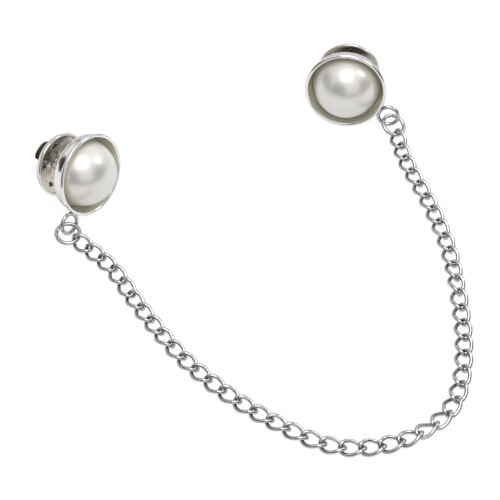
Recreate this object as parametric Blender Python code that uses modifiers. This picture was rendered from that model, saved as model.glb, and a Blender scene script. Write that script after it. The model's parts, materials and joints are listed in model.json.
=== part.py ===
"""Pair of pearl tack pins joined by a curb chain, lying on a table.

Each pin is a bezel cup holding a half pearl, with a post soldered to its back and a butterfly clutch
on the post. A lug on each cup's rim carries a jump ring, and 46 twisted wire links run between them.
Both pins lie on their side, so the cup's lip and the clutch's rim touch the table.
Lengths below are in millimetres and MM turns them into metres.
"""

import math

import bmesh
import bpy
from mathutils import Matrix, Vector

MM = 0.001
ROUND_STEPS = 32
TINY_MERGE = 1e-6

# Bezel cup: z runs along the pin's axis, 0 at the front of the lip, minus towards the clutch
LIP_TUBE = 0.45
LIP_CENTRE = (7.05, -0.45)
CUP_BACK = -3.5
CUP_FLOOR = -2.95
CUP_OUTSIDE = [(7.38, -0.78), (7.22, -1.25), (7.02, -2.0), (6.6, -2.8), (5.95, -3.3), (5.1, CUP_BACK)]
CUP_BOSS = [(2.0, CUP_BACK), (1.9, -3.68), (0.0, -3.68)]
CUP_INSIDE = [(0.0, CUP_FLOOR), (5.7, CUP_FLOOR), (6.2, -2.6), (6.42, -1.9), (6.52, -1.2), (6.62, -0.6)]

# Half pearl
PEARL_RADIUS = 6.0
PEARL_MIDDLE = -2.35
PEARL_BACK = -2.83

# Post: solder pad, shaft, grip groove and point
POST_RADIUS = 0.55
POST_PROFILE = [(0.0, -3.74), (1.45, -3.74), (1.6, -3.9), (1.35, -4.12), (0.75, -4.25), (0.55, -4.5)]
POST_END = [(0.55, -10.9), (0.42, -11.1), (0.42, -11.5), (0.55, -11.7), (0.45, -12.4), (0.0, -13.1)]

# Butterfly clutch: a tray-shaped disc with a thin beaded rim, six pyramid nubs and two curled wings
CLUTCH_FRONT = -7.2
CLUTCH_RIM_TUBE = 0.22
CLUTCH_RIM_CENTRE = (5.53, CLUTCH_FRONT - CLUTCH_RIM_TUBE)
CLUTCH_HOLE = 0.65
CLUTCH_COLLAR = -7.4
CLUTCH_FACE = -7.65
CLUTCH_PLATE_BACK = -8.0
CLUTCH_WALL = [(5.42, -8.3), (5.25, -8.4), (5.0, -8.35), (4.85, CLUTCH_PLATE_BACK)]
NUB_COUNT = 6
NUB_RING = 3.05
NUB_RADIUS = 0.75
NUB_HEIGHT = 0.38
WING_HINGE = (2.0, -8.5)
WING_STRIP = 0.34
WING_PATH = [
    (0.72, -8.5, 1.3), (1.3, -8.5, 1.5), (2.2, -8.5, 1.65), (3.0, -8.6, 1.8), (3.6, -8.9, 1.85),
    (4.02, -9.4, 1.85), (4.1, -10.0, 1.8), (3.85, -10.6, 1.7), (3.35, -10.95, 1.6),
    (2.75, -10.95, 1.5), (2.35, -10.6, 1.4), (2.3, -10.1, 1.3),
]

# Lug, jump rings and chain links, all of round wire
LUG_RADIUS = 1.8
LUG_REACH = 9.3
LUG_DEPTH = -0.5
LUG_WIRE = 0.35
RING_RADIUS = 2.05
RING_WIRE = 0.35
RING_OPENING = 9.0
RING_ARM = 1.66
LINK_COUNT = 46
LINK_WIRE = 0.325
LINK_WIDTH = 3.2
LINK_PLAY = 0.2
LINK_FULLNESS = 0.84
LINK_TWIST = 45.0
LINK_POINTS = 16

# Where each piece lies: x to the right, y away, z up from the table
SHIFT = (0.554, -0.364)
LEFT_RIM = (-27.6, 10.8)
LEFT_HEADING = -37.0
LEFT_LUG = 34.5
LEFT_WINGS = -69.0
RIGHT_RIM = (17.4, 31.5)
RIGHT_HEADING = -98.0
RIGHT_LUG = 151.0
RIGHT_WINGS = 18.0
LEFT_RING = (-31.75, 2.53, 1.45)
LEFT_RING_NORMAL = (0.06, -0.11, 1.0)
LEFT_RING_GAP = 200.0
RIGHT_RING = (26.4, 28.6, 1.62)
RIGHT_RING_NORMAL = (0.36, -0.22, 1.0)
RIGHT_RING_GAP = 100.0
ROUTE = [
    (-24.0, -4.6), (-19.6, -11.8), (-14.0, -20.3), (-8.3, -27.1), (-1.1, -33.4), (8.1, -39.4),
    (15.5, -41.8), (24.0, -40.6), (30.6, -36.6), (34.1, -30.4), (35.6, -20.5), (35.3, -9.0),
    (34.2, 1.0), (31.2, 11.9), (28.2, 20.0),
]
FIRST_TURN = (0.806, -0.591)
LAST_TURN = (0.29, -0.957)
LINK_ROLLS = {
    1: 28, 2: 17, 3: 7, 4: 12, 5: 12, 9: -6, 13: 6, 17: -8, 18: -5, 24: -12, 25: -20, 26: -8,
    30: 5, 35: 18, 36: 12, 40: -6, 44: -5, 45: -9, 46: -16,
}


def clear_scene():
    for old in list(bpy.data.objects):
        bpy.data.objects.remove(old)


def collection(name):
    made = bpy.data.collections.new(name)
    bpy.context.scene.collection.children.link(made)
    return made


def principled(name, colour, metallic, roughness):
    material = bpy.data.materials.new(name)
    material.use_nodes = True
    shader = material.node_tree.nodes["Principled BSDF"]
    shader.inputs["Base Color"].default_value = (*colour, 1.0)
    shader.inputs["Metallic"].default_value = metallic
    shader.inputs["Roughness"].default_value = roughness
    return material


def add(name, data, material, home, parent=None):
    piece = bpy.data.objects.new(name, data)
    home.objects.link(piece)
    piece.parent = parent
    if material is not None and not piece.data.materials:
        piece.data.materials.append(material)
    return piece


def helper(piece):
    """Marks an object as a shape that only a Boolean uses."""
    piece.hide_render = True
    piece.display_type = "WIRE"


def empty(name, home, matrix):
    frame = bpy.data.objects.new(name, None)
    home.objects.link(frame)
    frame.empty_display_size = 2 * MM
    frame.matrix_world = matrix
    return frame


def turned(name, profile, material, home, parent, steps=ROUND_STEPS, closed=False):
    """A profile of (radius, z) points turned about the pin's axis."""
    mesh = bpy.data.meshes.new(name)
    points = [(r * MM, 0.0, z * MM) for r, z in profile]
    edges = [(i, i + 1) for i in range(len(points) - 1)]
    if closed:
        edges.append((len(points) - 1, 0))
    mesh.from_pydata(points, edges, [])
    piece = add(name, mesh, material, home, parent)
    screw = piece.modifiers.new("turn", "SCREW")
    screw.axis = "Z"
    screw.steps = steps
    screw.render_steps = steps
    screw.use_merge_vertices = True
    screw.merge_threshold = TINY_MERGE
    screw.use_smooth_shade = True
    return piece


def arc(centre, radius, first, last, count):
    """Points of a circle in the (radius, z) plane, angles in degrees from outwards."""
    found = []
    for i in range(count):
        angle = math.radians(first + (last - first) * i / (count - 1))
        found.append((centre[0] + radius * math.cos(angle), centre[1] + radius * math.sin(angle)))
    return found


def wire(name, points, radius, closed):
    """A round wire through the points, as curve data."""
    curve = bpy.data.curves.new(name, "CURVE")
    curve.dimensions = "3D"
    curve.bevel_depth = radius * MM
    curve.bevel_resolution = 1
    curve.use_fill_caps = not closed
    spline = curve.splines.new("POLY")
    spline.points.add(len(points) - 1)
    for point, place in zip(spline.points, points):
        point.co = (*(Vector(place) * MM), 1.0)
    spline.use_cyclic_u = closed
    return curve


def frame_matrix(origin, along, normal):
    """x along the first direction, z as near the normal as can be, origin in millimetres."""
    x = Vector(along).normalized()
    y = Vector(normal).cross(x).normalized()
    z = x.cross(y)
    matrix = Matrix((x, y, z)).transposed().to_4x4()
    matrix.translation = (Vector(origin) + Vector((*SHIFT, 0.0))) * MM
    return matrix


def rest_tilt():
    """How far the axis rises towards the pearl when lip and clutch rim both touch the table."""
    reach = LIP_CENTRE[0] - CLUTCH_RIM_CENTRE[0]
    length = LIP_CENTRE[1] - CLUTCH_RIM_CENTRE[1]
    drop = CLUTCH_RIM_TUBE - LIP_TUBE
    return math.atan2(reach, length) - math.asin(drop / math.hypot(reach, length))


def stud_matrix(rim, heading):
    """Origin at the front of the cup, z along the axis towards the pearl, x level, y downhill."""
    tilt = rest_tilt()
    turn = math.radians(heading)
    axis = Vector((math.cos(tilt) * math.cos(turn), math.cos(tilt) * math.sin(turn), math.sin(tilt)))
    level = Vector((math.sin(turn), -math.cos(turn), 0.0))
    height = LIP_TUBE - LIP_CENTRE[1] * math.sin(tilt) + LIP_CENTRE[0] * math.cos(tilt)
    matrix = Matrix((level, axis.cross(level), axis)).transposed().to_4x4()
    matrix.translation = Vector((rim[0] + SHIFT[0], rim[1] + SHIFT[1], height)) * MM
    return matrix


def polar(radius, angle, z):
    return Vector((radius * math.cos(math.radians(angle)), radius * math.sin(math.radians(angle)), z)) * MM


def make_cup(side, frame, lug_angle, parts, cutters, metal):
    lip = arc(LIP_CENTRE, LIP_TUBE, 190, -30, 8)
    profile = CUP_INSIDE + lip + CUP_OUTSIDE + CUP_BOSS
    cup = turned(side + "_cup", profile, metal, parts, frame)
    bpy.ops.mesh.primitive_torus_add(
        major_segments=20, minor_segments=8, major_radius=LUG_RADIUS * MM, minor_radius=LUG_WIRE * MM
    )
    lug = bpy.context.object
    lug.name = side + "_lug_ring"
    for home in list(lug.users_collection):
        home.objects.unlink(lug)
    cutters.objects.link(lug)
    lug.parent = frame
    lug.location = polar(LUG_REACH, lug_angle, LUG_DEPTH)
    helper(lug)
    join = cup.modifiers.new("lug", "BOOLEAN")
    join.operation = "UNION"
    join.object = lug
    return cup


def make_pearl(side, frame, parts, material):
    dome = arc((0.0, PEARL_MIDDLE), PEARL_RADIUS, 90, 0, 10)
    dome[0] = (0.0, PEARL_MIDDLE + PEARL_RADIUS)
    profile = dome + [(5.92, PEARL_BACK + 0.15), (5.75, PEARL_BACK), (0.0, PEARL_BACK)]
    return turned(side + "_pearl", profile, material, parts, frame)


def make_post(side, frame, parts, material):
    return turned(side + "_pin_post", POST_PROFILE + POST_END, material, parts, frame, 16)


def make_clutch(side, frame, parts, cutters, material):
    rim = arc(CLUTCH_RIM_CENTRE, CLUTCH_RIM_TUBE, 180, -15, 7)
    face = [(CLUTCH_HOLE, CLUTCH_COLLAR), (1.15, CLUTCH_COLLAR), (1.45, CLUTCH_FACE), (5.1, CLUTCH_FACE)]
    back = CLUTCH_WALL + [(CLUTCH_HOLE, CLUTCH_PLATE_BACK)]
    shell = turned(side + "_clutch_shell", face + rim + back, material, parts, frame, closed=True)
    for i in range(NUB_COUNT):
        angle = 30 + 360 * i / NUB_COUNT
        bpy.ops.mesh.primitive_cone_add(vertices=4, radius1=NUB_RADIUS * MM, depth=2 * NUB_HEIGHT * MM)
        nub = bpy.context.object
        nub.name = f"{side}_nub_{i + 1}"
        for home in list(nub.users_collection):
            home.objects.unlink(nub)
        cutters.objects.link(nub)
        nub.parent = frame
        nub.location = polar(NUB_RING, angle, CLUTCH_FACE + 0.6 * NUB_HEIGHT)
        nub.rotation_euler = (0.0, 0.0, math.radians(angle))
        helper(nub)
        join = shell.modifiers.new(nub.name, "BOOLEAN")
        join.operation = "UNION"
        join.object = nub
    return shell


def wing_mesh():
    """A tapering strip along the wing's path, in the frame of its hinge line."""
    mesh = bpy.data.meshes.new("wing")
    strip = bmesh.new()
    bmesh.ops.create_grid(strip, x_segments=len(WING_PATH) - 1, y_segments=2, size=1.0)
    for vert in strip.verts:
        step = round((vert.co.x + 1) / 2 * (len(WING_PATH) - 1))
        reach, z, half_width = WING_PATH[step]
        side = round(vert.co.y)
        vert.co = Vector((reach - WING_HINGE[0], side * half_width, z - WING_HINGE[1])) * MM
    strip.to_mesh(mesh)
    strip.free()
    return mesh


def make_wing(name, frame, angle, parts, material, mesh):
    wing = add(name, mesh, material, parts, frame)
    wing.location = polar(WING_HINGE[0], angle, WING_HINGE[1])
    wing.rotation_euler = (0.0, 0.0, math.radians(angle))
    thick = wing.modifiers.new("strip", "SOLIDIFY")
    thick.thickness = WING_STRIP * MM
    thick.offset = 0.0
    return wing


def ring_points():
    """An open ring whose centre is one arm along x from its hinge."""
    count = 20
    span = 360.0 - RING_OPENING
    found = []
    for i in range(count + 1):
        angle = math.radians(RING_OPENING / 2 + span * i / count)
        found.append((RING_RADIUS * math.cos(angle), RING_RADIUS * math.sin(angle), 0.0))
    return found


def link_points(pitch):
    """An oval of wire, one pitch long between its hinges, twisted about its length."""
    half_length = (pitch + LINK_PLAY) / 2 + LINK_WIRE
    half_width = LINK_WIDTH / 2 - LINK_WIRE
    found = []
    for i in range(LINK_POINTS):
        angle = 2 * math.pi * i / LINK_POINTS
        twist = -math.radians(LINK_TWIST) * math.cos(angle)
        across = half_width * math.copysign(abs(math.sin(angle)) ** LINK_FULLNESS, math.sin(angle))
        x = pitch / 2 + half_length * math.cos(angle)
        found.append((x, across * math.cos(twist), across * math.sin(twist)))
    return found


def spline_points(points, per_span=24):
    """A smooth line through the points."""
    ends = [points[0]] + points + [points[-1]]
    found = []
    for a, b, c, d in zip(ends, ends[1:], ends[2:], ends[3:]):
        for i in range(per_span):
            t = i / per_span
            square = (2 * a - 5 * b + 4 * c - d) * t**2
            cube = (3 * b - a - 3 * c + d) * t**3
            found.append(0.5 * (2 * b + (c - a) * t + square + cube))
    return found + [points[-1]]


def evenly(points, count):
    """Points the same distance apart along the line, ends included, and that distance."""
    lengths = [0.0]
    for a, b in zip(points, points[1:]):
        lengths.append(lengths[-1] + (b - a).length)
    found = []
    k = 0
    for i in range(count + 1):
        target = lengths[-1] * i / count
        while k < len(points) - 2 and lengths[k + 1] < target:
            k += 1
        share = (target - lengths[k]) / (lengths[k + 1] - lengths[k])
        found.append(points[k].lerp(points[k + 1], min(share, 1.0)))
    return found, lengths[-1] / count


def in_ring_plane(turn, normal):
    """The flat direction laid into a ring's plane."""
    normal = Vector(normal).normalized()
    flat = Vector((*turn, 0.0))
    flat.z = -(flat.x * normal.x + flat.y * normal.y) / normal.z
    return flat.normalized()


def link_matrix(start, end, roll):
    along = (end - start).normalized()
    side = Vector((0.0, 0.0, 1.0)).cross(along).normalized()
    up = along.cross(side)
    turn = math.radians(roll)
    normal = up * math.cos(turn) - side * math.sin(turn)
    return frame_matrix(start, along, normal)


def lowest(matrix, points):
    return min((matrix @ (Vector(p) * MM)).z for p in points) / MM - LINK_WIRE


def chain_hinges():
    """Hinge points of the chain: evenly along the route, each link just touching the table."""
    start = Vector(LEFT_RING) + RING_ARM * in_ring_plane(FIRST_TURN, LEFT_RING_NORMAL)
    end = Vector(RIGHT_RING) + RING_ARM * in_ring_plane(LAST_TURN, RIGHT_RING_NORMAL)
    middle = [Vector((*p, 0.0)) for p in ROUTE]
    flat = [Vector((*start.xy, 0.0))] + middle + [Vector((*end.xy, 0.0))]
    hinges, pitch = evenly(spline_points(flat), LINK_COUNT)
    hinges[0].z = start.z
    hinges[-1].z = end.z
    for hinge in hinges[1:-1]:
        hinge.z = 0.8
    points = link_points(pitch)
    for _ in range(30):
        for i in range(LINK_COUNT):
            gap = lowest(link_matrix(hinges[i], hinges[i + 1], LINK_ROLLS.get(i + 1, 0)), points)
            if gap < 0:
                for hinge in (hinges[i], hinges[i + 1]):
                    if hinge not in (hinges[0], hinges[-1]):
                        hinge.z -= gap
    return hinges, pitch, points


def main():
    clear_scene()
    parts = collection("pearl_tack_pins_with_chain")
    cutters = collection("joined_shapes")
    frames = {}
    plating = principled("bright_plating", (0.74, 0.73, 0.72), 1.0, 0.14)
    chain_metal = principled("chain_plating", (0.72, 0.71, 0.70), 1.0, 0.16)
    post_metal = principled("post_steel", (0.60, 0.59, 0.57), 1.0, 0.24)
    clutch_metal = principled("clutch_plating", (0.62, 0.57, 0.52), 1.0, 0.22)
    spring_metal = principled("wing_spring_plating", (0.50, 0.49, 0.48), 1.0, 0.18)
    pearl = principled("pearl", (0.87, 0.85, 0.80), 0.0, 0.22)
    wing = wing_mesh()
    studs = (
        ("left", LEFT_RIM, LEFT_HEADING, LEFT_LUG, LEFT_WINGS),
        ("right", RIGHT_RIM, RIGHT_HEADING, RIGHT_LUG, RIGHT_WINGS),
    )
    for side, rim, heading, lug, wings in studs:
        frame = empty(side + "_pin_axis", parts, stud_matrix(rim, heading))
        frames[side] = frame
        make_cup(side, frame, lug, parts, cutters, plating)
        make_pearl(side, frame, parts, pearl)
        make_post(side, frame, parts, post_metal)
        make_clutch(side, frame, parts, cutters, clutch_metal)
        make_wing(side + "_wing_a", frame, wings, parts, spring_metal, wing)
        make_wing(side + "_wing_b", frame, wings + 180, parts, spring_metal, wing)
    ring = wire("jump_ring", ring_points(), RING_WIRE, False)
    rings = (
        ("left_jump_ring", LEFT_RING, LEFT_RING_NORMAL, LEFT_RING_GAP),
        ("right_jump_ring", RIGHT_RING, RIGHT_RING_NORMAL, RIGHT_RING_GAP),
    )
    for name, centre, normal, gap in rings:
        turn = (math.cos(math.radians(gap)), math.sin(math.radians(gap)))
        piece = add(name, ring, chain_metal, parts)
        piece.matrix_world = frame_matrix(centre, in_ring_plane(turn, normal), normal)
    hinges, pitch, points = chain_hinges()
    link = wire("chain_link", points, LINK_WIRE, True)
    for i in range(LINK_COUNT):
        piece = add(f"chain_link_{i + 1:02d}", link, chain_metal, parts)
        piece.matrix_world = link_matrix(hinges[i], hinges[i + 1], LINK_ROLLS.get(i + 1, 0))
    print(f"link pitch {pitch:.3f} mm, tilt {math.degrees(rest_tilt()):.2f} degrees")


main()
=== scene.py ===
# %% [markdown]
# # Two pearl tack pins joined by a curb chain
# Each pin is a bezel cup that holds half a pearl, with a pointed post on its back and a butterfly
# clutch that grips the post behind the cloth. A fine curb chain joins the two pins.
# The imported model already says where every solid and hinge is. The script builds a finer, smoother
# copy of each solid in the same place, rides it on the same body, and gives it a worked finish.
# Working on top of a fixed frame keeps the sizes true, so only the looks are decided here.

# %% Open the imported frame
import json
import math

import bmesh
import bpy
from mathutils import Matrix, Vector
from mathutils import noise as lumps


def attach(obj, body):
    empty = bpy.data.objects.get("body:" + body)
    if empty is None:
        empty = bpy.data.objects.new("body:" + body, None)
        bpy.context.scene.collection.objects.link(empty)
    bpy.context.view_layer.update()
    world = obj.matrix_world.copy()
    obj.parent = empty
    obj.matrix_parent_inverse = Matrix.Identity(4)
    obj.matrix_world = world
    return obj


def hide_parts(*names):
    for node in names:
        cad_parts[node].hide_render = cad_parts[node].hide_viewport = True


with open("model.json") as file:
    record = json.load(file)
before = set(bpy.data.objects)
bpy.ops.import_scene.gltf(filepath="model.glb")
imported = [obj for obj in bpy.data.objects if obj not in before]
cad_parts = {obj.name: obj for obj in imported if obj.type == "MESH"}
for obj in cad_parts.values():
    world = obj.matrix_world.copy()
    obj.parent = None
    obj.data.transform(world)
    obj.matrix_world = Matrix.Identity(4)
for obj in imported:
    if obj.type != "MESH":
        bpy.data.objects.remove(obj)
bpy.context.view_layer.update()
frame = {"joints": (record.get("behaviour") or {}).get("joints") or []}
hinges = {joint["name"]: joint for joint in frame["joints"]}

# %% [markdown]
# ## Small tools used by every piece
# All sizes of this jewellery are a few millimetres, so lengths are written in millimetres and
# turned into metres in one place. One helper links a piece into the scene, and another hands it
# to its body. Keeping the two apart lets a piece be shaped and placed before it starts to ride.

# %% Tools for placing and riding
MM = 0.001
home = bpy.context.scene.collection


def put(name, data, finish, place):
    """A new object with this data and finish, at this place in the row frame."""
    piece = bpy.data.objects.new(name, data)
    home.objects.link(piece)
    piece.matrix_world = place
    data.materials.clear()
    data.materials.append(finish)
    return piece


def hand_over(piece, body, slot, *nodes):
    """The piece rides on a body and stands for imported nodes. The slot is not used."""
    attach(piece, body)
    if nodes:
        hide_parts(*nodes)
    return piece


print("one millimetre is", MM, "of Blender's units")

# %% [markdown]
# ## Tools for wiring shader nodes
# A finish here is a small network of nodes. Writing each node, its settings and its links as one
# call keeps a network short enough to read, where the usual way takes four or five lines a node.

# %% Tools for nodes
def add_node(tree, kind, *sockets, **settings):
    """A node with its settings; sockets are (input, value or output socket) pairs."""
    made = tree.nodes.new("ShaderNode" + kind)
    for name, value in settings.items():
        setattr(made, name, value)
    for key, value in sockets:
        if isinstance(value, bpy.types.NodeSocket):
            tree.links.new(value, made.inputs[key])
        else:
            made.inputs[key].default_value = value
    return made


def maths(tree, operation, first, second=0.0):
    return add_node(tree, "Math", (0, first), (1, second), operation=operation).outputs[0]


def graded(tree, factor, *stops):
    """A colour ramp with (position, grey or colour) stops."""
    ramp = add_node(tree, "ValToRGB", ("Fac", factor))
    while len(ramp.color_ramp.elements) < len(stops):
        ramp.color_ramp.elements.new(0.5)
    for element, (position, colour) in zip(ramp.color_ramp.elements, stops):
        element.position = position
        colour = colour if isinstance(colour, tuple) else (colour,) * 3
        element.color = (*colour, 1.0)
    return ramp.outputs["Color"]


def blended(tree, factor, first, second):
    """Two colours mixed by a factor."""
    mix = tree.nodes.new("ShaderNodeMix")
    mix.data_type = "RGBA"
    pairs = ((mix.inputs["Factor"], factor), (mix.inputs[6], first), (mix.inputs[7], second))
    for socket, value in pairs:
        if isinstance(value, bpy.types.NodeSocket):
            tree.links.new(value, socket)
        else:
            socket.default_value = (*value, 1.0) if isinstance(value, tuple) else value
    return mix.outputs[2]


def spread(tree, factor, low, high):
    """The factor, 0 to 1, stretched to run from low to high."""
    return add_node(
        tree, "MapRange", (0, factor), ("To Min", low), ("To Max", high)
    ).outputs[0]


print("node tools ready")

# %% [markdown]
# ## Shared effect: polishing grain
# Plated findings are barrel polished, so under a loupe the mirror has a faint orange peel, a haze
# that comes and goes, and short hairlines in every direction. The grain is one group, because each
# metal here shows it at its own strength. Noise in the piece's own coordinates stays with the
# piece when it moves, and a random offset keeps 46 like links from showing the same marks.

# %% The grain group
def new_group(name, inputs, outputs):
    """An empty node group with its sockets, and its input and output nodes."""
    tree = bpy.data.node_groups.new(name, "ShaderNodeTree")
    for label, value in inputs:
        socket = tree.interface.new_socket(label, in_out="INPUT", socket_type="NodeSocketFloat")
        socket.default_value = value
    for label in outputs:
        tree.interface.new_socket(label, in_out="OUTPUT", socket_type="NodeSocketFloat")
    return tree, tree.nodes.new("NodeGroupInput"), tree.nodes.new("NodeGroupOutput")


def own_coordinates(tree):
    """The piece's own coordinates, shifted by a different amount on each piece."""
    here = add_node(tree, "TexCoord").outputs["Object"]
    shift = add_node(tree, "ObjectInfo").outputs["Random"]
    return add_node(tree, "VectorMath", (0, here), (1, shift), operation="ADD").outputs[0]


def noise(tree, vector, scale, detail=3.0, rough=0.55):
    return add_node(
        tree, "TexNoise", ("Vector", vector), ("Scale", scale), ("Detail", detail), ("Roughness", rough)
    ).outputs["Fac"]


def hairlines(tree, vector, turn, scale):
    """Fine scratches in one direction, as noise drawn out along it."""
    drawn = add_node(
        tree, "Mapping", ("Vector", vector), ("Rotation", turn), ("Scale", (1.0, 26.0, 26.0))
    ).outputs[0]
    return graded(tree, noise(tree, drawn, scale, 2.0), (0.60, 0.0), (0.72, 1.0))


grain, given, made = new_group("polishing_grain", [("Scale", 900.0)], ["Peel", "Haze", "Hairlines"])
where = own_coordinates(grain)
grain.links.new(noise(grain, where, given.outputs["Scale"], 4.0), made.inputs["Peel"])
coarse = maths(grain, "MULTIPLY", given.outputs["Scale"], 0.28)
grain.links.new(noise(grain, where, coarse, 3.0, 0.65), made.inputs["Haze"])
turns = ((0.3, 0.2, 0.5), (1.1, 0.7, 2.0), (2.2, 1.9, 0.9))
lines = [hairlines(grain, where, turn, 150.0) for turn in turns]
crossed = maths(grain, "MAXIMUM", maths(grain, "MAXIMUM", lines[0], lines[1]), lines[2])
grain.links.new(crossed, made.inputs["Hairlines"])
print("polishing grain has", len(grain.nodes), "nodes")

# %% [markdown]
# ## Shared effect: edges and crevices
# Handling polishes what sticks out and leaves a dull film in corners, under rolled lips and where
# wires touch. The colour put in those corners is partly that film and partly painted shade, darker
# where parts close in as a shadow would be. Pointiness finds the outward edges from the mesh itself,
# and ambient occlusion finds the corners. Painting masks by hand would look as good, but it would be
# lost at every rebuild.

# %% The wear and shade group
wear_and_shade, given, made = new_group("edges_and_crevices", [("Reach", 0.0008)], ["Edge", "CreviceFilmAndShade"])
bend = add_node(wear_and_shade, "NewGeometry").outputs["Pointiness"]
wear_and_shade.links.new(graded(wear_and_shade, bend, (0.51, 0.0), (0.60, 1.0)), made.inputs["Edge"])
closed_in = add_node(wear_and_shade, "AmbientOcclusion", ("Distance", given.outputs["Reach"]), samples=8)
shut = maths(wear_and_shade, "SUBTRACT", 1.0, closed_in.outputs["AO"])
film_and_shade = noise(wear_and_shade, own_coordinates(wear_and_shade), 700.0, 3.0)
patchy = maths(wear_and_shade, "MULTIPLY", shut, spread(wear_and_shade, film_and_shade, 0.7, 1.3))
wear_and_shade.links.new(graded(wear_and_shade, patchy, (0.12, 0.0), (0.75, 1.0)), made.inputs["CreviceFilmAndShade"])
print("edges and crevices has", len(wear_and_shade.nodes), "nodes")

# %% [markdown]
# ## Shared effect: settled dust
# Jewellery that lies on a table gathers a little dust on top. A mask that favours surfaces facing
# up, broken by noise, is enough. It only lifts the roughness and greys the colour slightly.

# %% The dust group
dust, given, made = new_group("settled_dust", [("Amount", 0.2)], ["Mask"])
facing = add_node(dust, "SeparateXYZ", (0, add_node(dust, "NewGeometry").outputs["Normal"])).outputs["Z"]
top = add_node(dust, "MapRange", (0, facing), ("From Min", 0.2), ("From Max", 1.0)).outputs[0]
specks = graded(dust, noise(dust, own_coordinates(dust), 5200.0, 5.0, 0.7), (0.52, 0.0), (0.66, 1.0))
settled = maths(dust, "MULTIPLY", maths(dust, "MULTIPLY", top, specks), given.outputs["Amount"])
dust.links.new(settled, made.inputs["Mask"])
print("settled dust has", len(dust.nodes), "nodes")

# %% [markdown]
# ## How a plated metal is built
# Rhodium and nickel plating over brass is a mirror with a slightly warm white colour. The metals
# here differ in colour, in how sharp the mirror is and in how much film and painted shade sits in
# the corners, so one function builds them all from numbers and the shared effects. A separate
# network for each would say the same thing five times.

# %% Plated metal
def group_node(tree, group, **values):
    made = tree.nodes.new("ShaderNodeGroup")
    made.node_tree = group
    for name, value in values.items():
        made.inputs[name].default_value = value
    return made.outputs


def plated(name, bright, film_and_shade, gloss, haze, peel, reach=0.0008, stain=None, rubbed=None, extra=None):
    """A plated metal: bright colour, colour of film and painted shade in corners, roughness from gloss to
    haze.
    """
    finish = bpy.data.materials.new(name)
    finish.use_nodes = True
    tree = finish.node_tree
    shader = tree.nodes["Principled BSDF"]
    shader.inputs["Metallic"].default_value = 1.0
    marks = group_node(tree, grain)
    worn_and_shaded = group_node(tree, wear_and_shade, Reach=reach)
    dusty = group_node(tree, dust, Amount=0.22)
    tone = blended(tree, marks["Haze"], tuple(c * 0.93 for c in bright), bright)
    if stain:
        spots = graded(tree, marks["Haze"], (0.50, 0.0), (0.68, 0.85))
        tone = blended(tree, spots, tone, stain)
    if extra:
        tone = extra(tree, tone)
    # Film and painted shade: corners and gaps between parts take the film colour.
    tone = blended(tree, worn_and_shaded["CreviceFilmAndShade"], tone, film_and_shade)
    if rubbed:
        tone = blended(tree, worn_and_shaded["Edge"], tone, rubbed)
    tone = blended(tree, dusty["Mask"], tone, (0.62, 0.60, 0.57))
    tree.links.new(tone, shader.inputs["Base Color"])
    rough = spread(tree, marks["Haze"], gloss, haze)
    rough = maths(tree, "ADD", rough, maths(tree, "MULTIPLY", marks["Hairlines"], 0.05))
    rough = maths(tree, "ADD", rough, maths(tree, "MULTIPLY", worn_and_shaded["CreviceFilmAndShade"], 0.18))
    rough = maths(tree, "SUBTRACT", rough, maths(tree, "MULTIPLY", worn_and_shaded["Edge"], 0.03))
    rough = maths(tree, "ADD", rough, maths(tree, "MULTIPLY", dusty["Mask"], 0.3))
    tree.links.new(rough, shader.inputs["Roughness"])
    height = maths(tree, "SUBTRACT", marks["Peel"], maths(tree, "MULTIPLY", marks["Hairlines"], 0.35))
    bump = add_node(tree, "Bump", ("Strength", peel), ("Distance", 0.00004), ("Height", height))
    tree.links.new(bump.outputs["Normal"], shader.inputs["Normal"])
    return finish


print("plated metal uses", [group.name for group in (grain, wear_and_shade, dust)])

# %% [markdown]
# ## Painted shade, painted light and tints for one metal
# A polished curve mirrors the dark of the room where it turns away, which shows as a thin dark
# line along round wire, round the lip of the cup and round the disc. A Layer Weight paints that
# here as painted shade, so the dark line follows the slant at which the metal is seen and isn't part
# of the metal itself. The well of the cup is painted a pale cream and made less metallic, as painted
# light for what its wall reflects. On the clutch's disc, brown tarnish in clouds is mixed with painted
# shade that darkens its uppermost half, and the punch pits are painted near black as shade. These are
# placed by the piece's own coordinates and stay on the metal when the piece moves.

# %% Tints
WELL_RADIUS, WELL_FRONT, WELL_BACK = 6.86, -0.42, -3.2
FACE_EDGE, PIT_SHADE_TOP, PIT_SHADE_FLOOR = 5.22, -7.70, -7.94


def from_axis(tree, here):
    """How far a point lies from the pin's axis."""
    flat = add_node(tree, "VectorMath", (0, here), (1, (1.0, 1.0, 0.0)), operation="MULTIPLY").outputs[0]
    return add_node(tree, "VectorMath", (0, flat), operation="LENGTH").outputs["Value"]


def between(tree, value, low, high):
    """1 where the value lies between two lengths in millimetres, else 0."""
    over = maths(tree, "GREATER_THAN", value, low * MM)
    return maths(tree, "MULTIPLY", over, maths(tree, "LESS_THAN", value, high * MM))


def painted_edge_shade(tree, tone, first, full, shade):
    """Painted shade for a mirror's dark edge: darker where seen edge-on, from one slant (0 flat, 1 edge-on)
    to another.
    """
    slant = add_node(tree, "LayerWeight", ("Blend", 0.5)).outputs["Facing"]
    return blended(tree, graded(tree, slant, (first, 0.0), (full, 0.88)), tone, shade)


# Painted shade: a thin dark line along round wire where it is seen edge-on.
def wire_painted_edge_shade(tree, tone):
    return painted_edge_shade(tree, tone, 0.46, 0.74, (0.07, 0.07, 0.07))


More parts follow.
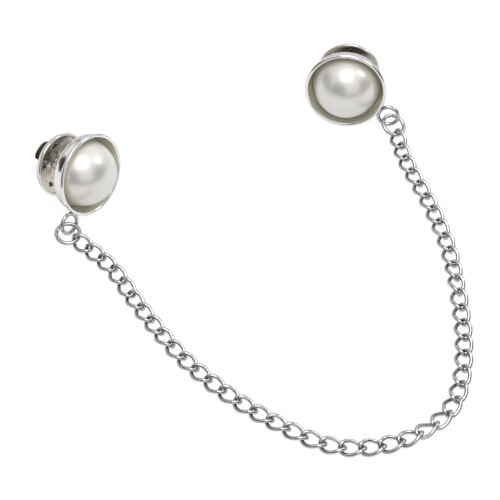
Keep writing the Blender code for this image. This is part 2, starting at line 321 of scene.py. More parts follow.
def cup_painted_light(tree, tone):
    """Painted edge shade on the outside, and in the well a pale, less metallic colour: painted light for
    what the wall reflects.
    """
    tone = painted_edge_shade(tree, tone, 0.52, 0.86, (0.24, 0.235, 0.225))
    here = add_node(tree, "TexCoord").outputs["Object"]
    along_axis = add_node(tree, "SeparateXYZ", (0, here)).outputs["Z"]
    within = maths(tree, "LESS_THAN", from_axis(tree, here), WELL_RADIUS * MM)
    inside = maths(tree, "MULTIPLY", between(tree, along_axis, WELL_BACK, WELL_FRONT), within)
    shader = tree.nodes["Principled BSDF"]
    # Painted light: the well is coloured pale cream and made less metallic, for the light its wall reflects.
    tree.links.new(spread(tree, inside, 1.0, 0.55), shader.inputs["Metallic"])
    return blended(tree, inside, tone, (0.98, 0.955, 0.87))


def disc_tarnish_and_painted_shade(tree, tone):
    """Painted edge shade, brown tarnish in clouds mixed with painted shade over the disc's uppermost half,
    and near black painted shade in the punch pits.
    """
    tone = painted_edge_shade(tree, tone, 0.55, 0.85, (0.16, 0.15, 0.14))
    here = add_node(tree, "TexCoord").outputs["Object"]
    axes = add_node(tree, "SeparateXYZ", (0, here))
    # Painted shade: the disc darkens towards its uppermost half, mixed with clouds of tarnish.
    up = maths(tree, "MULTIPLY", axes.outputs["Y"], -0.085 / MM)
    cloud_and_shade = maths(tree, "ADD", up, noise(tree, here, 330.0, 3.0))
    on_face = maths(tree, "LESS_THAN", from_axis(tree, here), FACE_EDGE * MM)
    tarnish_and_shade = maths(tree, "MULTIPLY", graded(tree, cloud_and_shade, (0.44, 0.0), (0.84, 0.90)), on_face)
    tone = blended(tree, tarnish_and_shade, tone, (0.060, 0.050, 0.036))
    # Painted shade: the punch pits are coloured near black.
    sunk = maths(tree, "MULTIPLY", between(tree, axes.outputs["Z"], PIT_SHADE_FLOOR, PIT_SHADE_TOP), on_face)
    return blended(tree, maths(tree, "MULTIPLY", sunk, 0.9), tone, (0.03, 0.026, 0.02))


print("the pale_painted well is", 2 * WELL_RADIUS, "mm wide")

# %% [markdown]
# ## The five metals
# Cups are rhodium plated and brightest. Chain and rings are darker nickel, the posts plain steel,
# the clutch discs warm worn nickel and the spring strips nearly black, partly as painted shade. The
# numbers are the bright colour, the colour of the film and painted shade in corners, two roughnesses,
# the depth of the orange peel and, for two of them, how far the film and shade reach.

# %% Five metals
bright_plating = plated(
    "bright_rhodium", (0.93, 0.925, 0.915), (0.90, 0.88, 0.79), 0.05, 0.11, 0.25, extra=cup_painted_light
)
# The chain's near-black corner colour is partly grime and partly painted shade where wires touch.
chain_plating = plated(
    "chain_nickel", (0.60, 0.59, 0.58), (0.12, 0.11, 0.10), 0.07, 0.15, 0.35, 0.0006, extra=wire_painted_edge_shade
)
post_steel = plated("post_steel", (0.66, 0.65, 0.63), (0.22, 0.20, 0.17), 0.16, 0.28, 0.4)
# The clutch's film reaches 3 mm, so the disc is darkened near the cup and wings as a painted shadow.
clutch_plating = plated(
    "clutch_nickel", (0.88, 0.82, 0.76), (0.10, 0.085, 0.07), 0.08, 0.18, 0.5, 0.0030,
    stain=(0.66, 0.60, 0.48), rubbed=(0.80, 0.785, 0.77), extra=disc_tarnish_and_painted_shade,
)
# Nearly black: dark spring steel, darkened further as painted shade.
wing_steel_and_shade = plated("spring_strip_and_shade", (0.045, 0.043, 0.042), (0.012, 0.012, 0.011), 0.12, 0.26, 0.35)
metals = (bright_plating, chain_plating, post_steel, clutch_plating, wing_steel_and_shade)
print("metals", [metal.name for metal in metals])

# %% [markdown]
# ## The pearl finish
# A half pearl of this kind is a glass or shell bead dipped many times in pearl essence. Light goes
# into the thin layers and comes back, so the face looks creamy and the edge turns a little olive.
# A Layer Weight paints that change of colour by the slant at which the pearl is seen, as painted
# sheen and edge shade, and lessens the metallic sheen towards the edge. The foot is darker where it
# closes in on the cup, as painted shade. A fine haze varies the gloss, and a clear coat gives the
# sharp highlight over the soft one. Real layered glass would cost far more time.

# %% Pearl finish
def pearl_finish():
    finish = bpy.data.materials.new("pearl_essence")
    finish.use_nodes = True
    tree = finish.node_tree
    shader = tree.nodes["Principled BSDF"]
    marks = group_node(tree, grain, Scale=420.0)
    worn_and_shaded = group_node(tree, wear_and_shade, Reach=0.0014)
    dusty = group_node(tree, dust, Amount=0.12)
    rim = add_node(tree, "LayerWeight", ("Blend", 0.42)).outputs["Facing"]
    cream_and_edge_shade = graded(
        tree, rim, (0.0, (0.93, 0.905, 0.865)), (0.30, (0.94, 0.915, 0.88)), (0.55, (0.91, 0.90, 0.85)),
        (0.80, (0.84, 0.82, 0.74)), (1.0, (0.74, 0.72, 0.62)),
    )
    clouds = blended(tree, spread(tree, marks["Haze"], 0.0, 0.5), cream_and_edge_shade, (0.95, 0.93, 0.91))
    # Painted shade: the pearl darkens where it closes in at its foot.
    foot = blended(tree, worn_and_shaded["CreviceFilmAndShade"], clouds, (0.86, 0.84, 0.74))
    tree.links.new(blended(tree, dusty["Mask"], foot, (0.7, 0.68, 0.64)), shader.inputs["Base Color"])
    hazy = spread(tree, marks["Haze"], 0.28, 0.38)
    rough = maths(tree, "ADD", hazy, maths(tree, "MULTIPLY", dusty["Mask"], 0.3))
    tree.links.new(rough, shader.inputs["Roughness"])
    tree.links.new(spread(tree, rim, 0.50, 0.15), shader.inputs["Metallic"])
    bump = add_node(tree, "Bump", ("Strength", 0.12), ("Distance", 0.00005), ("Height", marks["Peel"]))
    tree.links.new(bump.outputs["Normal"], shader.inputs["Normal"])
    shader.inputs["IOR"].default_value = 1.62
    shader.inputs["Coat Weight"].default_value = 0.6
    shader.inputs["Coat Roughness"].default_value = 0.22
    return finish


def glue_finish():
    """Set clear cement, yellowed a little, with small bubbles as bumps."""
    finish = bpy.data.materials.new("set_cement")
    finish.use_nodes = True
    tree = finish.node_tree
    shader = tree.nodes["Principled BSDF"]
    marks = group_node(tree, grain, Scale=1500.0)
    amber = blended(tree, marks["Haze"], (0.72, 0.69, 0.56), (0.84, 0.81, 0.70))
    tree.links.new(amber, shader.inputs["Base Color"])
    tree.links.new(spread(tree, marks["Haze"], 0.15, 0.4), shader.inputs["Roughness"])
    bump = add_node(tree, "Bump", ("Strength", 0.6), ("Distance", 0.00006), ("Height", marks["Peel"]))
    tree.links.new(bump.outputs["Normal"], shader.inputs["Normal"])
    shader.inputs["Coat Weight"].default_value = 0.4
    return finish


pearl_essence = pearl_finish()
set_cement = glue_finish()
print("pearl nodes", len(pearl_essence.node_tree.nodes))

# %% [markdown]
# ## Where the two pins lie
# Both pins lie on their side, so the cup's lip and the clutch's rim touch the table and the axis
# leans up a little towards the pearl. That lean follows from the two radii and the distance
# between them. Working it out keeps the pins resting on the table, which guessing would not.

# %% Pin frames
SIDES = 32
SNUG = math.cos(math.pi / SIDES)
LIP_TUBE, LIP_RING, LIP_DEPTH = 0.45, 7.05, -0.45
RIM_TUBE, RIM_RING, RIM_DEPTH = 0.22, 5.53, -7.42
SHIFT = (0.554, -0.364)
PINS = {
    "left": {"rim": (-27.6, 10.8), "heading": -37.0, "lug": 34.5, "wings": -69.0},
    "right": {"rim": (17.4, 31.5), "heading": -98.0, "lug": 151.0, "wings": 18.0},
}


def pin_frame(rim, heading):
    """Origin at the front of the cup, z towards the pearl, x level and y downhill."""
    reach, length = LIP_RING - RIM_RING, LIP_DEPTH - RIM_DEPTH
    lean = math.atan2(reach, length) - math.asin((RIM_TUBE - LIP_TUBE) / math.hypot(reach, length))
    turn = math.radians(heading)
    axis = Vector((math.cos(lean) * math.cos(turn), math.cos(lean) * math.sin(turn), math.sin(lean)))
    level = Vector((math.sin(turn), -math.cos(turn), 0.0))
    height = LIP_TUBE - LIP_DEPTH * math.sin(lean) + LIP_RING * math.cos(lean)
    place = Matrix((level, axis.cross(level), axis)).transposed().to_4x4()
    place.translation = Vector((rim[0] + SHIFT[0], rim[1] + SHIFT[1], height)) * MM
    return place


for pin in PINS.values():
    pin["place"] = pin_frame(pin["rim"], pin["heading"])
print("left pin's origin", [round(v / MM, 2) for v in PINS["left"]["place"].translation])

# %% [markdown]
# ## Turned pieces
# Cup, pearl, post and clutch are all round, so a half outline swept about the axis makes each of
# them, as a lathe or a spinning tool would. The corners of the outline are softened first, since
# pressed sheet has no sharp corner and a tiny radius is what catches the light. A Screw modifier
# does the sweep, and a Weighted Normal modifier keeps the flats flat.

# %% Outline tools
def arc(centre, radius, first, last, count):
    """Points of a circle in the outline's plane, angles in degrees from outwards."""
    found = []
    for i in range(count):
        angle = math.radians(first + (last - first) * i / (count - 1))
        found.append((centre[0] + radius * math.cos(angle), centre[1] + radius * math.sin(angle)))
    return found


def softened(outline, radius, steps=4):
    """The outline with a short curve in place of every corner but the two ends."""
    points = [Vector(p) for p in outline]
    found = [points[0]]
    for before, corner, after in zip(points, points[1:], points[2:]):
        back, on = before - corner, after - corner
        start = corner + back.normalized() * min(radius, 0.45 * back.length)
        stop = corner + on.normalized() * min(radius, 0.45 * on.length)
        for i in range(steps + 1):
            t = i / steps
            found.append(start * (1 - t) ** 2 + corner * 2 * t * (1 - t) + stop * t * t)
    return found + [points[-1]]


def turned(name, outline, finish, place, steps=144, closed=False):
    mesh = bpy.data.meshes.new(name)
    edges = [(i, i + 1) for i in range(len(outline) - 1)]
    if closed:
        edges.append((len(outline) - 1, 0))
    mesh.from_pydata([(r * MM, 0.0, z * MM) for r, z in outline], edges, [])
    piece = put(name, mesh, finish, place)
    sweep = piece.modifiers.new("sweep", "SCREW")
    sweep.axis = "Z"
    sweep.steps = sweep.render_steps = steps
    sweep.use_merge_vertices = True
    sweep.merge_threshold = 1e-7
    sweep.use_smooth_shade = True
    piece.modifiers.new("flats", "WEIGHTED_NORMAL").keep_sharp = True
    return piece


print("corner of three points becomes", len(softened([(0, 0), (1, 0), (1, 1)], 0.1)), "points")

# %% [markdown]
# ## Bezel cup
# The cup is pressed from thin brass: a flat bottom, a wall that swells up to the front, and a lip
# rolled back to a round bead that hides the cut edge and frames the pearl. A fine step under the
# bead shows where the roll ends. Turning the whole section gives the inside, which the gap round
# the pearl lets one see.

# %% Cups
BEAD_TUBE, BEAD_RING, BEAD_DEPTH = 0.33, 7.17, -0.34
INSIDE = [(0.0, -2.95), (5.75, -2.95), (6.3, -2.6), (6.58, -1.9), (6.72, -1.2), (6.82, -0.5)]
OUTSIDE = [
    (7.40, -0.60), (7.26, -0.72), (7.20, -1.0), (7.07, -1.8), (6.88, -2.5), (6.6, -2.95),
    (6.1, -3.3), (5.1, -3.5),
]
BOSS = [(2.0, -3.5), (1.9, -3.68), (0.0, -3.68)]


def bezel_cup(side, place):
    lip = arc((BEAD_RING, BEAD_DEPTH), BEAD_TUBE, 190, -35, 14)
    outline = softened(INSIDE, 0.16) + lip + softened(OUTSIDE, 0.14) + softened(BOSS, 0.05)
    return turned(side + "_bezel_cup", [(r * SNUG, z) for r, z in outline], bright_plating, place, 180)


for side, pin in PINS.items():
    cup = hand_over(bezel_cup(side, pin["place"]), side + "_pin", "bright_plating", side + "_cup")
    print(cup.name, "across the lip", round(2 * (BEAD_RING + BEAD_TUBE) * SNUG, 2), "mm")

# %% [markdown]
# ## Half pearl and its cement
# The bead is a dome on a short straight foot, cemented to the floor of the cup. A thin fillet of
# cement runs round the foot. The dome is turned with many rings, because a pearl's highlight shows
# every facet.

# %% Pearls and cement
PEARL_RADIUS, PEARL_MIDDLE, PEARL_FOOT = 6.0, -2.35, -2.83


def half_pearl(side, place):
    dome = arc((0.0, PEARL_MIDDLE), PEARL_RADIUS, 90, 0, 48)
    dome[0] = (0.0, PEARL_MIDDLE + PEARL_RADIUS)
    foot = [(5.98, PEARL_MIDDLE - 0.2), (5.9, PEARL_FOOT + 0.08), (5.75, PEARL_FOOT), (0.0, PEARL_FOOT)]
    return turned(side + "_half_pearl", dome + foot, pearl_essence, place, 160)


def cement(side, place):
    """A ring of set cement between the foot of the pearl and the wall."""
    bed = [
        (5.5, -2.93), (6.05, -2.6), (6.22, -2.35), (6.05, -2.28), (5.99, -2.45), (5.8, -2.815), (5.5, -2.86),
    ]
    ring = turned(side + "_cement", softened(bed, 0.05, 2) + [bed[0]], set_cement, place, 96)
    ring.modifiers.remove(ring.modifiers["flats"])
    return ring


for side, pin in PINS.items():
    pearl = hand_over(half_pearl(side, pin["place"]), side + "_pin", "pearl", side + "_pearl")
    hand_over(cement(side, pin["place"]), side + "_pin", "pearl")
    print(pearl.name, "across", 2 * PEARL_RADIUS, "mm")

# %% [markdown]
# ## Post
# A steel pin with a flat pad is soldered to the back of the cup. Near its point runs a groove that
# the clutch's spring snaps into, and the point itself is ground. One outline says all of it.

# %% Posts
POST = [
    (0.0, -3.74), (1.45, -3.74), (1.6, -3.9), (1.35, -4.12), (0.75, -4.25), (0.55, -4.5),
    (0.55, -10.9), (0.42, -11.1), (0.42, -11.5), (0.55, -11.7), (0.45, -12.4), (0.0, -13.1),
]
for side, pin in PINS.items():
    post = turned(side + "_post", softened(POST, 0.1), post_steel, pin["place"], 48)
    hand_over(post, side + "_pin", "post_steel", side + "_pin_post")
    print(post.name, "reaches", POST[0][1] - POST[-1][1], "mm back")

# %% [markdown]
# ## Butterfly clutch
# The clutch is a disc of thin brass with a rolled rim. Six small pyramids and a star round the
# hole are punched into its face, so that it grips the cloth. The disc is turned first and its face
# is then pressed in code: each vertex is raised by the height of the stamp above it, or sunk where
# the punch drew metal away beside a pyramid; these pits are painted near black as shade. The sides
# of the pyramids are shaded flat to stay crisp. A Boolean for each stamp would leave long thin
# triangles, which spoil a reflection.

# %% Clutch discs
FACE, PLATE_BACK, COLLAR, HOLE = -7.65, -8.0, -7.4, 0.65
NUB_COUNT, NUB_RING, NUB_REACH, NUB_HEIGHT = 6, 3.05, 0.8, 0.55
PIT_SHIFT, PIT_REACH, PIT_DEPTH = 0.95, 0.62, 0.26
STAR_POINTS, STAR_RING, STAR_HEIGHT = 8, 1.75, 0.16


def stamp_height(x, y):
    """How far the punches raise the face here, or sink it beside each pyramid, in millimetres."""
    radius, angle = math.hypot(x, y), math.atan2(y, x)
    height, pit = 0.0, 0.0
    for i in range(NUB_COUNT):
        turn = math.radians(30 + 360 * i / NUB_COUNT)
        across = x * math.cos(turn) + y * math.sin(turn) - NUB_RING
        along = y * math.cos(turn) - x * math.sin(turn)
        height = max(height, NUB_HEIGHT * (1 - (abs(across) + abs(along)) / NUB_REACH))
        beside = abs(across - PIT_SHIFT) + 0.8 * abs(along)
        pit = max(pit, min(PIT_DEPTH, 1.2 * (PIT_REACH - beside)))
    tooth = abs((angle * STAR_POINTS / math.tau) % 1.0 - 0.5) * 2
    star = STAR_HEIGHT * min(1.0, max(0.0, 1 - abs(radius - STAR_RING) / 0.55)) * (0.25 + tooth)
    return max(height, star) or -pit


def clutch_disc(side, place):
    rim = arc((RIM_RING, RIM_DEPTH), RIM_TUBE, 180, -15, 12)
    face = [(1.45 + 3.3 * i / 48, FACE) for i in range(49)]
    outline = softened([(HOLE, COLLAR), (1.12, COLLAR), (1.3, COLLAR - 0.12)], 0.06) + face
    outline += softened([(5.1, FACE), (5.28, FACE + 0.1), (5.31, RIM_DEPTH - 0.02)], 0.06) + rim
    wall = [(5.56, -7.95), (5.42, -8.3), (5.25, -8.4), (5.02, -8.33), (4.88, PLATE_BACK)]
    wall.append((HOLE, PLATE_BACK))
    outline += softened(wall, 0.08)
    disc = turned("turned_disc", [(r * SNUG, z) for r, z in outline], clutch_plating, place, 288, True)
    graph = bpy.context.evaluated_depsgraph_get()
    mesh = bpy.data.meshes.new_from_object(disc.evaluated_get(graph))
    bpy.data.objects.remove(disc)
    for vertex in mesh.vertices:
        x, y, z = vertex.co / MM
        if abs(z - FACE) < 0.01 and 1.3 < math.hypot(x, y) < 4.7:
            vertex.co.z += stamp_height(x, y) * MM
    for face in mesh.polygons:
        raised = FACE + 0.03 < face.center.z / MM < FACE + NUB_HEIGHT + 0.01
        if raised and 2.2 < face.center.xy.length / MM < 3.9:
            face.use_smooth = False
    return put(side + "_clutch_disc", mesh, clutch_plating, place)


for side, pin in PINS.items():
    disc = clutch_disc(side, pin["place"])
    hand_over(disc, side + "_clutch", "clutch_plating", side + "_clutch_shell")
    print(disc.name, "has", len(disc.data.vertices), "vertices")

# %% [markdown]
# ## Curled wings
# Behind the disc the spring strip comes out on both sides and curls back, and squeezing the two
# curls together opens the grip. Each curl is a grid laid along its side view and crowned across
# its width. A Subdivision Surface smooths it, Solidify gives it thickness and a fine bevel takes
# off its edges, which is how sheet metal is best drawn: the middle of the sheet first and the
# thickness after.

# %% Wings
WING_HINGE = (2.0, -8.5)
STRIP, CROWN = 0.3, 0.45
CURL = [
    (0.72, -8.5, 1.3), (1.3, -8.5, 1.5), (2.2, -8.5, 1.65), (3.0, -8.6, 1.8), (3.6, -8.9, 1.85),
    (4.02, -9.4, 1.85), (4.1, -10.0, 1.8), (3.85, -10.6, 1.7), (3.35, -10.95, 1.6),
    (2.75, -10.95, 1.5), (2.35, -10.6, 1.4), (2.3, -10.1, 1.3),
]


def wing(name, angle, place):
    rows = []
    for i, (r, z, half) in enumerate(CURL):
        before, after = Vector(CURL[max(i - 1, 0)][:2]), Vector(CURL[min(i + 1, len(CURL) - 1)][:2])
        run = (after - before).normalized()
        rows.append([])
        for s in (-1.0, -0.75, -0.4, 0.0, 0.4, 0.75, 1.0):
            tuck = CROWN * s ** 4 * min(1.0, i / 4)
            out, back = r + tuck * run.y - WING_HINGE[0], z - tuck * run.x - WING_HINGE[1]
            rows[-1].append((out * MM, s * half * MM, back * MM))
    across = len(rows[0])
    faces = []
    for i in range(len(rows) - 1):
        for k in range(across - 1):
            a = i * across + k
            faces.append((a, a + across, a + across + 1, a + 1))
    mesh = bpy.data.meshes.new(name)
    mesh.from_pydata([p for row in rows for p in row], [], faces)
    mesh.shade_smooth()
    turn = math.radians(angle)
    hinge = Vector((WING_HINGE[0] * math.cos(turn), WING_HINGE[0] * math.sin(turn), WING_HINGE[1])) * MM
    spot = place @ Matrix.Translation(hinge) @ Matrix.Rotation(turn, 4, "Z")
    piece = put(name, mesh, wing_steel_and_shade, spot)
    smooth = piece.modifiers.new("smooth", "SUBSURF")
    smooth.levels = smooth.render_levels = 2
    sheet = piece.modifiers.new("sheet", "SOLIDIFY")
    sheet.thickness = STRIP * MM
    sheet.offset = 0.0
    edge = piece.modifiers.new("edge", "BEVEL")
    edge.width = 0.05 * MM
    edge.segments = 2
    piece.modifiers.new("flats", "WEIGHTED_NORMAL").keep_sharp = True
    return piece


for side, pin in PINS.items():
    for letter, angle in (("a", pin["wings"]), ("b", pin["wings"] + 180)):
        curl = wing(f"{side}_curl_{letter}", angle, pin["place"])
        hand_over(curl, f"{side}_wing_{letter}", "wing_spring_plating", f"{side}_wing_{letter}")
        print(curl.name, "strip", STRIP, "mm thick")

# %% [markdown]
# ## Round wire
# Lug rings, jump rings and chain links are all bent from round wire. A curve with a bevel is the
# plainest way to draw wire: its points are the bend and its depth is the gauge. Each point also
# has a radius of its own, which draws the seam where a link's two cut ends meet.

# %% Wire tool
def wire(name, points, gauge, closed, radii=None):
    """A mesh of round wire through the points, in millimetres."""
    curve = bpy.data.curves.new(name, "CURVE")
    curve.dimensions = "3D"
    curve.bevel_depth = gauge * MM
    curve.bevel_resolution = 6
    curve.use_fill_caps = not closed
    spline = curve.splines.new("POLY")
    spline.points.add(len(points) - 1)
    for i, place in enumerate(points):
        spline.points[i].co = (*(Vector(place) * MM), 1.0)
        spline.points[i].radius = radii[i] if radii else 1.0
    spline.use_cyclic_u = closed
    spline.use_smooth = True
    former = bpy.data.objects.new(name, curve)
    home.objects.link(former)
    graph = bpy.context.evaluated_depsgraph_get()
    mesh = bpy.data.meshes.new_from_object(former.evaluated_get(graph))
    mesh.set_sharp_from_angle(angle=math.radians(50.0))
    bpy.data.objects.remove(former)
    bpy.data.curves.remove(curve)
    return mesh


def ring_points(radius, opening, count):
    """A ring with a gap of some degrees, or closed where there is none."""
    span = math.radians(360.0 - opening)
    start = math.radians(opening / 2)
    last = count - 1 if opening else count
    return [(radius * math.cos(start + span * i / last), radius * math.sin(start + span * i / last), 0.0)
            for i in range(count)]


def along(origin, direction, normal):
    """A place with x along the direction and z near the normal; the origin is in metres."""
    x = Vector(direction).normalized()
    y = Vector(normal).cross(x).normalized()
    place = Matrix((x, y, x.cross(y))).transposed().to_4x4()
    place.translation = origin
    return place


print("a ring of 2 mm has", len(ring_points(2.0, 9.0, 72)), "points")

# %% [markdown]
# ## Lug rings
# A small closed ring is soldered to the lip in the plane of the lip. A bead of solder creeps up
# the wire on both sides. The bead is an icosphere pushed out of round by noise and flattened onto
# the lip, so it reads as metal that has flowed.

# %% Lugs and solder
LUG_RADIUS, LUG_GAUGE, LUG_REACH, LUG_DEPTH = 1.8, 0.34, 9.3, -0.5


def on_pin(place, reach, angle, depth):
    turn = math.radians(angle)
    spot = Vector((reach * math.cos(turn), reach * math.sin(turn), depth)) * MM
    return place @ Matrix.Translation(spot) @ Matrix.Rotation(turn, 4, "Z")


lug_wire = wire("lug_wire", ring_points(LUG_RADIUS, 0.0, 72), LUG_GAUGE, True)
for side, pin in PINS.items():
    place = on_pin(pin["place"], LUG_REACH, pin["lug"], LUG_DEPTH)
    lug = put(side + "_lug_ring", lug_wire, chain_plating, place)
    hand_over(lug, side + "_pin", "chain_plating")
    print(lug.name, "across", 2 * (LUG_RADIUS + LUG_GAUGE), "mm")


def solder_bead(name, size, place):
    """Metal that has run and set: a ball pushed out of round, with half-axes in millimetres."""
    ball = bmesh.new()
    bmesh.ops.create_icosphere(ball, subdivisions=4, radius=1.0)
    for vertex in ball.verts:
        swell = 1.0 + 0.16 * lumps.noise(vertex.co * 1.7 + Vector((len(name), 0.0, 0.0)))
        vertex.co = Vector(a * b * swell * MM for a, b in zip(vertex.co, size))
    mesh = bpy.data.meshes.new(name)
    ball.to_mesh(mesh)
    ball.free()
    mesh.shade_smooth()
    return put(name, mesh, chain_plating, place)


SOLDER = (0.36, 0.95, 0.40)
for side, pin in PINS.items():
    foot = on_pin(pin["place"], LUG_REACH - LUG_RADIUS + 0.02, pin["lug"], LUG_DEPTH)
    bead = solder_bead(side + "_lug_solder", SOLDER, foot)
    hand_over(bead, side + "_pin", "bright_plating")
    print(bead.name, "runs", 2 * SOLDER[1], "mm along the lip")

# %% [markdown]
# ## Jump rings
# An open ring links each lug to the chain. Its ends are cut flat and never quite meet, and the cut
# ends are slightly rounded by the cutter. The same wire tool draws it, with capped ends in place
# of a closed curve, so the cut shows as it is.

# %% Jump rings
RING_RADIUS, RING_GAUGE, RING_OPENING = 2.05, 0.35, 9.0
JUMP_RINGS = {
    "left": {"centre": (-31.75, 2.53, 1.45), "normal": (0.06, -0.11, 1.0), "gap": 200.0},
    "right": {"centre": (26.4, 28.6, 1.62), "normal": (0.36, -0.22, 1.0), "gap": 100.0},
}


def laid_flat(degrees, normal):
    """A heading on the table, laid into the plane that has this normal."""
    normal = Vector(normal).normalized()
    flat = Vector((math.cos(math.radians(degrees)), math.sin(math.radians(degrees)), 0.0))
    flat.z = -flat.dot(normal) / normal.z
    return flat.normalized()


bend = ring_points(RING_RADIUS, RING_OPENING, 80)
ends = [0.9 if i in (0, len(bend) - 1) else 1.0 for i in range(len(bend))]
ring_wire = wire("jump_ring_wire", bend, RING_GAUGE, False, ends)
for side, ring in JUMP_RINGS.items():
    centre = (Vector(ring["centre"]) + Vector((*SHIFT, 0.0))) * MM
    place = along(centre, laid_flat(ring["gap"], ring["normal"]), ring["normal"])
    piece = put(side + "_split_ring", ring_wire, chain_plating, place)
    hand_over(piece, side + "_ring", "chain_plating", side + "_jump_ring")
    print(piece.name, "across", 2 * (RING_RADIUS + RING_GAUGE), "mm")

# %% [markdown]
# ## Curb links
# Each link is an oval of wire, twisted an eighth of a turn each way, so that its two ends cross
# and the chain lies flat. Its hinges say where it hangs in its neighbours, and some links are
# rolled about their length as a laid-out chain's are. All links share one mesh.

# %% Links
LINK_COUNT, LINK_GAUGE, LINK_WIDTH, LINK_PLAY = 46, 0.325, 3.2, 0.2
LINK_FULLNESS, LINK_TWIST, LINK_PITCH = 0.84, 45.0, 3.2
LINK_ROLLS = {
    1: 28, 2: 17, 3: 7, 4: 12, 5: 12, 9: -6, 13: 6, 17: -8, 18: -5, 24: -12, 25: -20, 26: -8,
    30: 5, 35: 18, 36: 12, 40: -6, 44: -5, 45: -9, 46: -16,
}


def link_bend(count=64):
    """The oval of one link, from its own hinge, with the seam's thinner points."""
    half_length = (LINK_PITCH + LINK_PLAY) / 2 + LINK_GAUGE
    half_width = LINK_WIDTH / 2 - LINK_GAUGE
    points, radii = [], []
    for i in range(count):
        angle = math.tau * i / count
        twist = -math.radians(LINK_TWIST) * math.cos(angle)
        across = half_width * math.copysign(abs(math.sin(angle)) ** LINK_FULLNESS, math.sin(angle))
        x = LINK_PITCH / 2 + half_length * math.cos(angle)
        points.append((x, across * math.cos(twist), across * math.sin(twist)))
        radii.append(0.92 if i == count // 4 + 2 else 1.0)
    return points, radii


def hinge_of(number):
    """The point where a link hangs in the one before it."""
    name = "right_ring_bend" if number > LINK_COUNT else None
    for ending in ("_bend", "_drape"):
        name = name or (f"link_{number:02d}{ending}" if f"link_{number:02d}{ending}" in hinges else None)
    return Vector(hinges[name]["pos_m"])


def link_place(number):
    start, stop = hinge_of(number), hinge_of(number + 1)
    direction = (stop - start).normalized()
    side_way = Vector((0.0, 0.0, 1.0)).cross(direction).normalized()
    roll = math.radians(LINK_ROLLS.get(number, 0))
    normal = direction.cross(side_way) * math.cos(roll) - side_way * math.sin(roll)
    return along(start, direction, normal)


link_wire = wire("link_wire", link_bend()[0], LINK_GAUGE, True, link_bend()[1])
for number in range(1, LINK_COUNT + 1):
    link = put(f"curb_link_{number:02d}", link_wire, chain_plating, link_place(number))
    hand_over(link, f"link_{number:02d}", "chain_plating", f"chain_link_{number:02d}")
print("links", LINK_COUNT, "first at", [round(v / MM, 2) for v in hinge_of(1)])

# %% [markdown]
# ## Table top
# The pins lie on a plain table top of pale glass. It has a very faint tooth, so that it isn't a
# dead flat colour, and it gives off light of its own, as a light table does, which keeps the
# shadows soft and open. A Light Path makes that light stronger to the camera than to reflections
# and to bounced light, and lets the camera alone see half through the glass. A hinge at its limit
# can swing the chain below the table's height, and a solid board would swallow it.

# %% Floor
def floor_finish():
    finish = bpy.data.materials.new("pale_board")
    finish.use_nodes = True
    tree = finish.node_tree
    shader = tree.nodes["Principled BSDF"]
    tooth = noise(tree, add_node(tree, "TexCoord").outputs["Object"], 900.0, 4.0)
    tone = blended(tree, tooth, (0.24, 0.24, 0.238), (0.27, 0.27, 0.267))
    tree.links.new(tone, shader.inputs["Base Color"])
    shader.inputs["Roughness"].default_value = 0.9
    shader.inputs["Specular IOR Level"].default_value = 0.1
    path = add_node(tree, "LightPath").outputs
    seen = maths(tree, "MULTIPLY", path["Is Camera Ray"], 0.84)
    glow = maths(tree, "ADD", seen, maths(tree, "MULTIPLY", path["Is Diffuse Ray"], 0.68))
    glow = maths(tree, "ADD", glow, maths(tree, "MULTIPLY", path["Is Glossy Ray"], 0.66))
    tree.links.new(glow, shader.inputs["Emission Strength"])
    solid = maths(tree, "SUBTRACT", 1.0, maths(tree, "MULTIPLY", path["Is Camera Ray"], 0.5))
    tree.links.new(solid, shader.inputs["Alpha"])
    shader.inputs["Emission Color"].default_value = (1.0, 1.0, 1.0, 1.0)
    return finish


HALF = 1.6
board = bpy.data.meshes.new("board")
corners = [(-HALF, -HALF, 0), (HALF, -HALF, 0), (HALF, HALF, 0), (-HALF, HALF, 0)]
board.from_pydata(corners, [], [(0, 1, 2, 3)])
floor = put("board", board, floor_finish(), Matrix.Translation((0.0, 0.0, -0.00004)))
print("table top", 2 * HALF, "m wide")

# %% [markdown]
# ## Studio light
# Polished metal shows the room and little else. A bright softbox overhead and a smaller one at the
# right give the two highlights on each pearl, and three black cards round the table and a dark
# strip low in front put dark streaks in the metal. The cards are drawn in the world's own colour,
# so nothing stands in the way, and a Light Path shows the camera a white room in their place.

# %% Lights and room
def softbox(name, direction, distance, side, watts, tint):
    light = bpy.data.lights.new(name, "AREA")
    light.shape = "SQUARE"
    light.size = side
    light.energy = watts
    light.color = tint
    lamp = bpy.data.objects.new(name, light)
    home.objects.link(lamp)
    lamp.location = Vector(direction).normalized() * distance
    lamp.rotation_euler = Vector(direction).to_track_quat("Z", "Y").to_euler()
    return lamp


softbox("overhead_softbox", (0.0, -0.15, 0.99), 0.45, 0.27, 0.66, (1.0, 0.99, 0.97))
softbox("right_softbox", (0.72, 0.25, 0.65), 0.45, 0.13, 0.18, (0.97, 0.98, 1.0))


FLAGS = ((-0.54, -0.77, 0.34), (0.92, -0.28, 0.25), (-0.98, 0.10, 0.16))


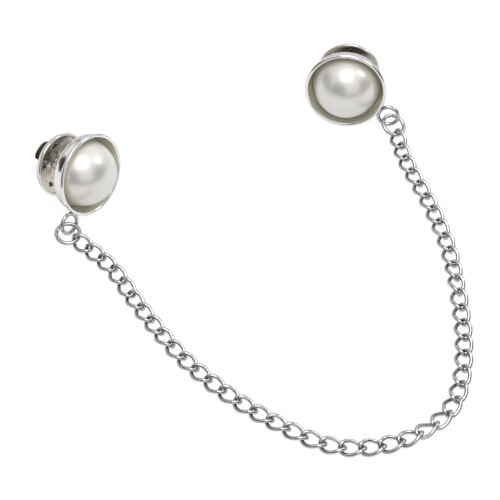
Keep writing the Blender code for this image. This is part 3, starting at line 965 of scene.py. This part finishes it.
def studio_room():
    """Bright walls and ceiling, with black cards standing round the table."""
    room = bpy.data.worlds.new("studio_room")
    room.use_nodes = True
    tree = room.node_tree
    back = tree.nodes["Background"]
    way = add_node(tree, "TexCoord").outputs["Generated"]
    height = add_node(tree, "SeparateXYZ", (0, way)).outputs["Z"]
    front = maths(tree, "MULTIPLY", add_node(tree, "SeparateXYZ", (0, way)).outputs["Y"], -1.0)
    walls = graded(tree, height, (0.0, 0.22), (0.08, 0.42), (0.22, 0.82), (0.60, 0.80), (1.0, 0.72))
    low = graded(tree, height, (0.20, 1.0), (0.30, 0.0))
    table_edge = maths(tree, "MULTIPLY", low, graded(tree, front, (0.10, 0.0), (0.35, 0.85)))
    walls = blended(tree, table_edge, walls, (0.10, 0.10, 0.09))
    for flag in FLAGS:
        aimed = add_node(tree, "VectorMath", (0, way), (1, Vector(flag).normalized()))
        aimed.operation = "DOT_PRODUCT"
        near = aimed.outputs["Value"]
        walls = blended(tree, graded(tree, near, (0.86, 0.0), (0.92, 1.0)), walls, (0.05, 0.05, 0.045))
    seen = add_node(tree, "LightPath").outputs["Is Camera Ray"]
    tree.links.new(blended(tree, seen, walls, (1.0, 1.0, 1.0)), back.inputs["Color"])
    back.inputs["Strength"].default_value = 1.0
    return room


bpy.context.scene.world = studio_room()
bpy.context.scene.view_settings.view_transform = "Standard"

# %% [markdown]
# ## Camera
# The camera looks down at the table at fifty degrees with a long lens from about thirty
# centimetres, close enough for a little perspective and far enough to keep the round cups round.

# %% Camera
VIEW_HEIGHT, VIEW_DISTANCE, LENS = math.radians(50.0), 0.310, 128.1
lens = bpy.data.cameras.new("viewpoint")
lens.sensor_width = 36.0
lens.lens = LENS
lens.clip_start = 0.005
camera = bpy.data.objects.new("viewpoint", lens)
home.objects.link(camera)
aim = Vector((*SHIFT, 0.0)) * MM
camera.location = aim + VIEW_DISTANCE * Vector((0.0, -math.cos(VIEW_HEIGHT), math.sin(VIEW_HEIGHT)))
camera.rotation_euler = (math.pi / 2 - VIEW_HEIGHT, 0.0, 0.0)
bpy.context.scene.camera = camera
print("camera at", [round(v, 4) for v in camera.location])
